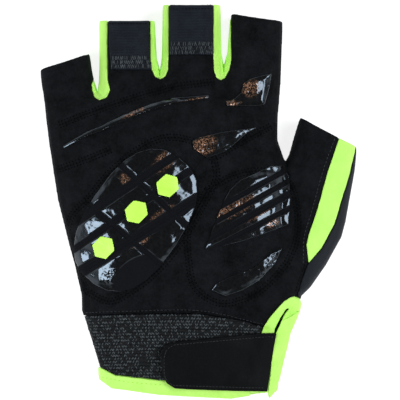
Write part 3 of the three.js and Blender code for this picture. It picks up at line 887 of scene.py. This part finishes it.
def clothPiece(name, nodeName, voxel, finish, slot, masks, rounds):
    piece = remeshed(name, [nodeName], voxel)
    points = meshPoints(piece.data)
    edges = meshEdges(piece.data)
    points = edgeSmoothed(points, edges, rounds)
    if finish in ("suede", "stretch", "neon", "binding"):
        points = seamsShut(piece.data, points)
    x, y, z = points.T
    # sewn is nearness to the sewn lines; the suede and neon finishes darken there as painted shade
    values = {"sewn": bell(seamDistance(x, y), sewnWidth)}
    values.update(masks(piece.data, x, y) if masks else {})
    moves = [values.pop(label, 0) for label in ("moveX", "moveY", "moveZ")]
    points = shaped(points, edges)
    for axis, move in enumerate(moves):
        points[:, axis] += move
    if name in mendSpots:
        points = mended(points, edges, *mendSpots[name])
    setMeshPoints(piece.data, points)
    for label, value in values.items():
        layer = piece.data.attributes.new(label, "FLOAT", "POINT")
        layer.data.foreach_set("value", np.asarray(value, np.float32))
    smoothShaded(piece)
    piece.data.materials.clear()
    piece.data.materials.append(finishes[finish])
    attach(piece, "root")
    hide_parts(nodeName)
    print("piece:", name, len(piece.data.polygons), "faces")
    return piece


# The slit at the wrist is drawn nearly shut: its path in photo pixels, and half the gap at its foot
slit = {
    "path": [(286.5, 310), (276.2, 333)],
    "half": 1.45 * mm,
    "widest": 1.2,
    "reach": 3.2 * mm,
    "share": 0.86,
}


def slitMasks(mesh, x, y):
    head, foot = (np.array(fromPhoto(*point)) for point in slit["path"])
    length = np.linalg.norm(foot - head)
    run = (foot - head) / length
    along = (x - head[0]) * run[0] + (y - head[1]) * run[1]
    aside = (x - head[0]) * -run[1] + (y - head[1]) * run[0]
    half = slit["half"] * np.clip(along / length, 0, slit["widest"])
    push = slit["share"] * half * (1 - smoothStep(0, slit["reach"], np.abs(aside) - half))
    move = -np.sign(aside) * np.minimum(push, np.abs(aside))
    return {"moveX": move * -run[1], "moveY": move * run[0]}


def gussetMasks(mesh, x, y):
    return {"moveZ": puckerMove(x, y)}


printSunk = 0.5 * mm  # the ink lies on the film


def printMasks(mesh, x, y):
    return {"moveZ": -printSunk}


# Each piece: the node it stands for, its voxel, its finish and its slot
pieceNodes = {
    "palm_cloth": ("palm_panel", 0.58 * mm, "suede", "suede"),
    "back_cloth": ("back_panel", 0.62 * mm, "stretch", "stretch"),
    "cuff_cloth": ("cuff_band", 0.45 * mm, "knit", "knit"),
    "gusset_left": ("gusset_pinky_ring", 0.27 * mm, "neon", "neon"),
    "gusset_centre": ("gusset_ring_middle", 0.27 * mm, "neon", "neon"),
    "gusset_right": ("gusset_middle_index", 0.27 * mm, "neon", "neon"),
    "stripe_thumb": ("thumb_stripe", 0.24 * mm, "neon", "neon"),
    "binding_hem": ("hem_binding", 0.3 * mm, "binding", "neon"),
    "binding_slit": ("slit_binding", 0.27 * mm, "binding", "neon"),
    "strap": ("closure_strap", 0.4 * mm, "strap", "strap"),
    "loop_ring": ("tab_ring", 0.3 * mm, "tape", "tape"),
    "loop_middle": ("tab_middle", 0.3 * mm, "tape", "tape"),
    "print_low": ("mark_low", 0.25 * mm, "print", "mark"),
    "print_mid": ("mark_mid", 0.25 * mm, "print", "mark"),
    "print_high": ("mark_high", 0.25 * mm, "print", "mark"),
}
pieceMasks = {"print": printMasks, "gusset": gussetMasks, "binding_slit": slitMasks}
roundsFor = {"cloth": 8, "trim": 20, "gel": 2}
pieces = {}
for name, details in pieceNodes.items():
    masks = pieceMasks.get(name, pieceMasks.get(name.split("_")[0]))
    rounds = roundsFor["cloth" if name.endswith("cloth") else "trim"]
    pieces[name] = clothPiece(name, *details, masks, rounds)


# Glossy patches: pressed matte bands between crowned tiles. Centres are photo pixels and turns degrees.
# A band ends with its width in mm; a zone has its half length and half width in pixels before its turn.
gelBands = {
    "gel_pad_heel": [
        (86, 217, 34, 3.4), (85, 242, 34, 3.2), (95, 263, 32, 5.2), (150, 172, 33, 3.2),
        (118, 228, -40, 3.0), (150, 192, -43, 3.0),
    ],
    "gel_pad_thumb": [
        (247.5, 191.7, 29, 2.6), (254, 200.5, 29, 2.4), (242, 220, 29, 3.2), (250, 228.5, 27, 2.4),
    ],
}
copperZones = {
    "gel_pad_heel": [(165, 162, 14, 8, 42), (128, 181, 9, 5, -40), (163, 215, 14, 6, 35)]
    + [(142, 240, 12, 4, 30)],
    "gel_pad_thumb": [(234, 208, 23, 7.5, 27), (259, 212, 18, 4, 32), (272, 222, 8, 5, 30)],
    "gel_leaf_palm": [(204, 146, 13, 9, 20)],
    "gel_pad_hook": [(250, 88, 9, 9, 60), (232, 103, 9, 3, 0)],
    "gel_line": [(192, 101.5, 24, 2.2, 9), (135, 113, 14, 2.0, 24)],
}
matteZones = {"gel_pad_heel": [(137, 273, 27, 15, 34)]}
zoneFades = {"matte": (0.92, 1.06), "speckled": (0.6, 1.1), "copper": (0.55, 1.25)}
speckledZones = {"gel_leaf_thumb": [(268, 265, 20, 11, 48)], "gel_pad_heel": [(112, 276, 10, 8, 30)]}
dome = {"reach": 2.4 * mm, "depth": 0.34 * mm, "steep": 0.45}
gelRelief = {
    "band": 0.4 * mm,
    "bandInner": 0.35 * mm,
    "bandOuter": 0.15 * mm,
    "longRipple": 0.10 * mm,
    "longWave": 3.1 * mm,
    "shortRipple": 0.05 * mm,
    "shortWave": 1.4 * mm,
    "lineShare": 0.3,  # the thin arc ripples less
}


def rimDistance(mesh):
    # how far each point of the plan is from the nearest steep wall of the piece
    steep = np.abs(meshNormals(mesh)[:, 2]) < dome["steep"]
    points = meshPoints(mesh)
    tree = KDTree(int(steep.sum()))
    for index, (x, y, z) in enumerate(points[steep]):
        tree.insert((x, y, 0), index)
    tree.balance()
    return np.array([tree.find((x, y, 0))[2] for x, y, z in points])


def ovalShare(x, y, oval):
    # 0 in the middle of an oval of the plan, 1 at its edge
    px, py, long, wide, turn = oval
    cx, cy = fromPhoto(px, py)
    angle = math.radians(turn)
    u = ((x - cx) * math.cos(angle) + (y - cy) * math.sin(angle)) / (long * photo["pixel"])
    v = ((y - cy) * math.cos(angle) - (x - cx) * math.sin(angle)) / (wide * photo["pixel"])
    return np.hypot(u, v)


def zoneShare(x, y, zones, full, none):
    # 1 inside any of some ovals of the plan, fading to 0 at their edges
    share = np.zeros_like(x)
    for oval in zones:
        share = np.maximum(share, 1 - smoothStep(full, none, ovalShare(x, y, oval)))
    return share


def gelMasks(name):
    def masks(mesh, x, y):
        matte = zoneShare(x, y, matteZones.get(name, []), *zoneFades["matte"])
        for px, py, turn, width in gelBands.get(name, []):
            cx, cy = fromPhoto(px, py)
            angle = math.radians(turn)
            aside = np.abs((y - cy) * math.cos(angle) - (x - cx) * math.sin(angle))
            inner = width / 2 * mm - gelRelief["bandInner"]
            outer = width / 2 * mm + gelRelief["bandOuter"]
            matte = np.maximum(matte, 1 - smoothStep(inner, outer, aside))
        speckled = zoneShare(x, y, speckledZones.get(name, []), *zoneFades["speckled"])
        copper = zoneShare(x, y, copperZones.get(name, []), *zoneFades["copper"])
        rim = 1 - smoothStep(0, dome["reach"], rimDistance(mesh))
        ripples = gelRelief["longRipple"] * planNoise(x, y, gelRelief["longWave"])
        ripples += gelRelief["shortRipple"] * planNoise(x, y, gelRelief["shortWave"])
        ripples *= gelRelief["lineShare"] if name == "gel_line" else 1.0
        lift = (ripples - dome["depth"] * rim) * (1 - matte) - gelRelief["band"] * matte
        return {"matte": matte, "copper": copper, "speckled": speckled, "moveZ": lift}

    return masks


gelNodes = {
    "gel_pad_heel": "gel_heel",
    "gel_pad_thumb": "gel_thumb",
    "gel_leaf_thumb": "gel_thumb_leaf",
    "gel_leaf_palm": "gel_palm_leaf",
    "gel_pad_hook": "gel_hook",
    "gel_line": "gel_arc",
}
gelVoxel = 0.3 * mm
for name, node in gelNodes.items():
    pieces[name] = clothPiece(name, node, gelVoxel, "gel", "gel", gelMasks(name), roundsFor["gel"])
print("stage: cloths and gel")


# Stitches, loops and dots: one tree of Geometry Nodes sets small beads along paths that lie on the cloth
def beadTree():
    tree = bpy.data.node_groups.new("beads_along_paths", "GeometryNodeTree")
    made = tree.interface.new_socket
    made(name="Geometry", in_out="INPUT", socket_type="NodeSocketGeometry")
    for label in ("Spacing", "Length", "Width", "Height", "Tilt", "Stray", "Light"):
        made(name=label, in_out="INPUT", socket_type="NodeSocketFloat")
    made(name="Roundness", in_out="INPUT", socket_type="NodeSocketInt")
    made(name="Seed", in_out="INPUT", socket_type="NodeSocketInt")
    made(name="Material", in_out="INPUT", socket_type="NodeSocketMaterial")
    made(name="Geometry", in_out="OUTPUT", socket_type="NodeSocketGeometry")
    board = NodeBoard(tree)
    given = tree.nodes.new("NodeGroupInput")
    ask = {socket.name: Wire(board, socket) for socket in given.outputs if socket.name}
    curve = board.node("GeometryNodeMeshToCurve", None, {"Mesh": ask["Geometry"]})
    settings = {"Curve": curve, "Length": ask["Spacing"]}
    rows = board.node("GeometryNodeResampleCurve", {"mode": "LENGTH"}, settings)
    tangent = board.node("GeometryNodeInputTangent")
    up = board.node("GeometryNodeInputNamedAttribute", {"data_type": "FLOAT_VECTOR"}, {"Name": "up"})
    along = board.node("FunctionNodeAlignRotationToVector", {"axis": "X"}, {"Vector": tangent})
    settings = {"axis": "Z", "pivot_axis": "X"}
    laid = board.node("FunctionNodeAlignRotationToVector", settings, {"Rotation": along, "Vector": up})
    index = board.node("GeometryNodeInputIndex")
    flip = (index % 2) * -2 + 1

    def chance(low, high, shift):
        inputs = {2: low, 3: high, "Seed": ask["Seed"] + shift}
        return board.node("FunctionNodeRandomValue", {"data_type": "FLOAT"}, inputs, 1)

    angle = flip * ask["Tilt"] + chance(-1.0, 1.0, 1) * ask["Stray"]
    turn = board.node("FunctionNodeAxisAngleToRotation", None, {"Axis": (0, 0, 1), "Angle": angle})
    settings = {"rotation_space": "LOCAL"}
    turned = board.node("FunctionNodeRotateRotation", settings, {"Rotation": laid, "Rotate By": turn})
    long = ask["Length"] * chance(0.92, 1.08, 2)
    size = board.node("ShaderNodeCombineXYZ", None, {0: long, 1: ask["Width"], 2: ask["Height"]})
    inputs = {"Radius": 0.5, "Subdivisions": ask["Roundness"]}
    bead = board.node("GeometryNodeMeshIcoSphere", None, inputs)
    inputs = {"Points": rows, "Instance": bead, "Rotation": turned, "Scale": size}
    beads = board.node("GeometryNodeInstanceOnPoints", None, inputs)
    light = chance(0.0, 1.0, 3).math("LESS_THAN", ask["Light"]) * chance(0.45, 1.0, 4)
    settings = {"data_type": "FLOAT", "domain": "INSTANCE"}
    inputs = {0: beads, "Name": "light", "Value": light}
    marked = board.node("GeometryNodeStoreNamedAttribute", settings, inputs)
    solid = board.node("GeometryNodeRealizeInstances", None, {0: marked})
    smooth = board.node("GeometryNodeSetShadeSmooth", None, {0: solid})
    finished = board.node("GeometryNodeSetMaterial", None, {0: smooth, "Material": ask["Material"]})
    output = tree.nodes.new("NodeGroupOutput")
    tree.links.new(finished.socket, output.inputs[0])
    return tree


beadNodes = beadTree()


def surfaceOf(names):
    # one tree of the faces of several finished pieces, to lay things on
    points, faces = [], []
    for name in names:
        mesh = pieces[name].data
        base = len(points)
        points.extend(vertex.co.copy() for vertex in mesh.vertices)
        faces.extend([base + corner for corner in polygon.vertices] for polygon in mesh.polygons)
    return BVHTree.FromPolygons(points, faces)


beadLimits = {"steepest": 0.15, "mostGap": 6 * mm}


def beadsAlong(name, paths, surface, lift, finish, sizes, seed=1, way=-1):
    # way is -1 for a surface seen from above and 1 for one seen from below
    spots, edges, normals = [], [], []
    for path in paths:
        last = None
        for x, y in path:
            start = Vector((x, y, -farOff * way))
            place, normal = surface.ray_cast(start, Vector((0, 0, way)))[:2]
            if place is None or normal.z * way > -beadLimits["steepest"]:
                last = None
                continue
            if last is not None and (place - spots[last]).length < beadLimits["mostGap"]:
                edges.append((last, len(spots)))
            last = len(spots)
            spots.append(place + normal * lift)
            normals.append(normal)
    mesh = bpy.data.meshes.new(name)
    mesh.from_pydata(spots, edges, [])
    up = mesh.attributes.new("up", "FLOAT_VECTOR", "POINT")
    up.data.foreach_set("vector", np.array(normals, np.float32).ravel())
    thing = addObject(name, mesh)
    beads = thing.modifiers.new("beads", "NODES")
    beads.node_group = beadNodes
    values = {"Tilt": 0.0, "Stray": 0.05, "Light": 0.0, "Roundness": 2}
    values.update({"Seed": seed, "Material": finishes[finish]})
    values.update(sizes)
    for socket in beadNodes.interface.items_tree:
        if socket.in_out == "INPUT" and socket.name in values:
            beads[socket.identifier] = values[socket.name]
    withModifiers(thing)
    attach(thing, "root")
    pieces[name] = thing
    print("piece:", name, len(thing.data.polygons), "faces")
    return thing


def besides(path, distance):
    # the path moved to its left
    run = np.gradient(path, axis=0)
    run /= np.maximum(np.linalg.norm(run, axis=1)[:, None], 1e-12)
    return path + np.column_stack([-run[:, 1], run[:, 0]]) * distance


palmSurface = surfaceOf(["palm_cloth"])
# palm dots: dark beads along the sewn lines where the needle holes are; their dark colour is painted shade
palmDots = {
    "rows": (-1.2 * mm, 0.0, 1.2 * mm),
    "sizes": {"Spacing": 1.35 * mm, "Length": 0.66 * mm, "Width": 0.62 * mm, "Height": 0.12 * mm,
              "Stray": 0.5},
}
dotPaths = []
for path in seamPaths.values():
    for row in palmDots["rows"]:
        dotPaths.append(besides(path, row))
beadsAlong("palm_dots", dotPaths, palmSurface, 0.02 * mm, "dot", palmDots["sizes"])

# Pull tabs: a row of stitches at the top and a dense zigzag of lighter thread at the foot
tabStitch = {
    "row": {"Spacing": 1.25 * mm, "Length": 0.95 * mm, "Width": 0.3 * mm, "Height": 0.25 * mm},
    "zigzag": {"Spacing": 0.42 * mm, "Length": 1.9 * mm, "Width": 0.24 * mm, "Height": 0.24 * mm,
               "Tilt": math.radians(78), "Stray": 0.22, "Light": 0.62},
    "tuft": {"Spacing": 0.5 * mm, "Length": 1.5 * mm, "Width": 0.16 * mm, "Height": 0.16 * mm,
             "Tilt": math.radians(60), "Stray": 0.9, "Light": 0.1},
}
tabSurface = surfaceOf(["loop_ring", "loop_middle"])
tabRows = [photoPath([(110, 24), (149, 24)]), photoPath([(171, 9.5), (211.5, 9)])]
beadsAlong("tab_stitches", tabRows, tabSurface, 0.05 * mm, "dot", tabStitch["row"])
tuftRows = [photoPath([(140, 20.3), (149.5, 20.0)], 1.0), photoPath([(168.5, 6.9), (174, 6.4)], 1.0)]
tuftRows += [photoPath([(206, 6.2), (212.5, 6.3)], 1.0), photoPath([(109, 21.2), (114, 21)], 1.0)]
beadsAlong("tab_tufts", tuftRows, tabSurface, 0.25 * mm, "yarn", tabStitch["tuft"], 13)
zigzagRows = []
for offset in (0, 4.2, 8.4):
    zigzagRows.append(photoPath([(112, 58.5 + offset), (150.5, 58.0 + offset)]))
    zigzagRows.append(photoPath([(170.5, 44.5 + offset), (212, 44.0 + offset)]))
beadsAlong("tab_zigzags", zigzagRows, tabSurface, 0.05 * mm, "yarn", tabStitch["zigzag"], 3)

# Cuff: rows of knitted loops over the elastic ground
knitLoops = {
    "rowStep": 1.25 * mm,
    "foot": 0.5 * mm,
    "edge": 0.8 * mm,
    "bow": 1.1 * mm,
    "sizes": {"Spacing": 0.62 * mm, "Length": 1.25 * mm, "Width": 0.46 * mm, "Height": 0.44 * mm,
              "Tilt": math.radians(64), "Stray": 0.12, "Light": 0.5, "Roundness": 1},
}
cuffLow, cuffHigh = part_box("cuff_band")
cuffRows = []
for row in range(int((cuffHigh.y - cuffLow.y) / knitLoops["rowStep"]) + 1):
    rowY = cuffLow.y + knitLoops["foot"] + row * knitLoops["rowStep"]
    rowX = np.arange(cuffLow.x + knitLoops["edge"], cuffHigh.x - knitLoops["edge"], 1.0 * mm)
    bow = knitLoops["bow"] * np.sin((rowX - cuffLow.x) / (cuffHigh.x - cuffLow.x) * math.pi)
    cuffRows.append(np.column_stack([rowX, rowY + bow]))
cuffSurface = surfaceOf(["cuff_cloth"])
beadsAlong("cuff_knit", cuffRows, cuffSurface, 0.02 * mm, "yarn", knitLoops["sizes"], 5)

# Closure strap: a stitch line inside its edge
strapStitch = {"Spacing": 1.35 * mm, "Length": 1.0 * mm, "Width": 0.24 * mm, "Height": 0.2 * mm}
strapEdge = [(272, 336.6), (262, 336.6), (184, 343.2), (172, 345.5), (165.5, 352)]
strapEdge += [(164.3, 366), (166, 378), (172, 383.6), (184, 384.8), (262, 387.4)]
strapRows = [photoPath(strapEdge)]
strapSurface = surfaceOf(["strap"])
beadsAlong("strap_stitches", strapRows, strapSurface, 0.03 * mm, "thread", strapStitch)

# Seams where the suede is turned in: palm to cuff, thumb seam and the thumb stripe
seamStitch = {"Spacing": 1.6 * mm, "Length": 1.15 * mm, "Width": 0.26 * mm, "Height": 0.2 * mm}
seamRows = [
    photoPath([(87, 312.6), (130, 310.8), (200, 310.2), (262, 323.6)]),
    photoPath([(334, 140), (323, 170), (312, 209), (304, 236), (303, 262)]),
]
beadsAlong("palm_stitches", seamRows, palmSurface, 0.02 * mm, "thread", seamStitch, 7)

# Hem binding: small pricks of neon thread
hemStitch = {"Spacing": 1.9 * mm, "Length": 0.9 * mm, "Width": 0.26 * mm, "Height": 0.16 * mm}
hemRows = [photoPath([(103, 377.5), (130, 381.8), (165, 384.3)], 2.0)]
hemSurface = surfaceOf(["binding_hem"])
beadsAlong("hem_stitches", hemRows, hemSurface, 0.02 * mm, "neonThread", hemStitch, 9)

# Back of the hand: stitches in the sunk seams, on both sides of the long ones
backBeside = 1.3 * mm
backStitch = {"Spacing": 1.7 * mm, "Length": 1.2 * mm, "Width": 0.3 * mm, "Height": 0.2 * mm}
backRows = []
for seamName in backSeams:
    for offset in (-backBeside, backBeside):
        backRows.append(besides(backPaths[seamName], offset))
backSurface = surfaceOf(["back_cloth"])
beadsAlong("back_stitches", backRows, backSurface, 0.0, "thread", backStitch, 11, way=1)


# Floor and soft studio light: a bright surround, darker overhead so that gloss stays black
studio = {
    "floor": 0.4,
    "floorGlow": 0.84,
    "floorHeight": -0.25 * mm,
    "floorHalf": 3.0,
    "surround": 1.1,
    "overhead": 0.08,
    "brightBelow": 0.12,
    "darkAbove": 0.55,
    "sky": (0.96, 0.98, 1.0),
}
lamps = {
    "key": {"place": (-0.893, -0.325, 0.887), "size": (0.5, 0.55), "power": 11.5, "colour": (0.9, 0.95, 1)},
    "side": {"place": (0.857, 0.151, 0.966), "size": (0.9, 0.45), "power": 13.0, "colour": (0.93, 0.96, 1)},
}
floorMesh = bpy.data.meshes.new("floor")
half = studio["floorHalf"]
corners = ((-half, -half), (half, -half), (half, half), (-half, half))
floorCorners = [(a, b, studio["floorHeight"]) for a, b in corners]
floorMesh.from_pydata(floorCorners, [], [(0, 1, 2, 3)])
floor = addObject("floor", floorMesh)
floorFinish = Finish("floor", Roughness=0.9, Specular_IOR_Level=0.1)
floorFinish.shader.inputs["Emission Strength"].default_value = studio["floorGlow"]
floorFinish.shader.inputs["Base Color"].default_value = (studio["floor"],) * 3 + (1,)
floorFinish.shader.inputs["Emission Color"].default_value = (1, 1, 1, 1)
floorMesh.materials.append(floorFinish.material)

world = bpy.data.worlds.new("studio")
scene.world = world
world.use_nodes = True
sky = world.node_tree
background = sky.nodes["Background"]
direction = sky.nodes.new("ShaderNodeTexCoord")
parts = sky.nodes.new("ShaderNodeSeparateXYZ")
sky.links.new(direction.outputs["Generated"], parts.inputs[0])
fade = sky.nodes.new("ShaderNodeMapRange")
fade.interpolation_type = "SMOOTHSTEP"
for place, label in enumerate(("brightBelow", "darkAbove", "surround", "overhead"), 1):
    fade.inputs[place].default_value = studio[label]
sky.links.new(parts.outputs[2], fade.inputs[0])
sky.links.new(fade.outputs[0], background.inputs[1])
background.inputs[0].default_value = (*studio["sky"], 1)

for name, setup in lamps.items():
    data = bpy.data.lights.new(name, "AREA")
    data.shape = "RECTANGLE"
    data.size, data.size_y = setup["size"]
    data.energy = setup["power"]
    data.color = setup["colour"]
    lamp = bpy.data.objects.new(name, data)
    lamp.location = setup["place"]
    lamp.rotation_euler = (-Vector(setup["place"])).to_track_quat("-Z", "Y").to_euler()
    scene.collection.objects.link(lamp)
scene.view_settings.view_transform = "Standard"
scene.view_settings.look = "None"
print("stage: floor and light")
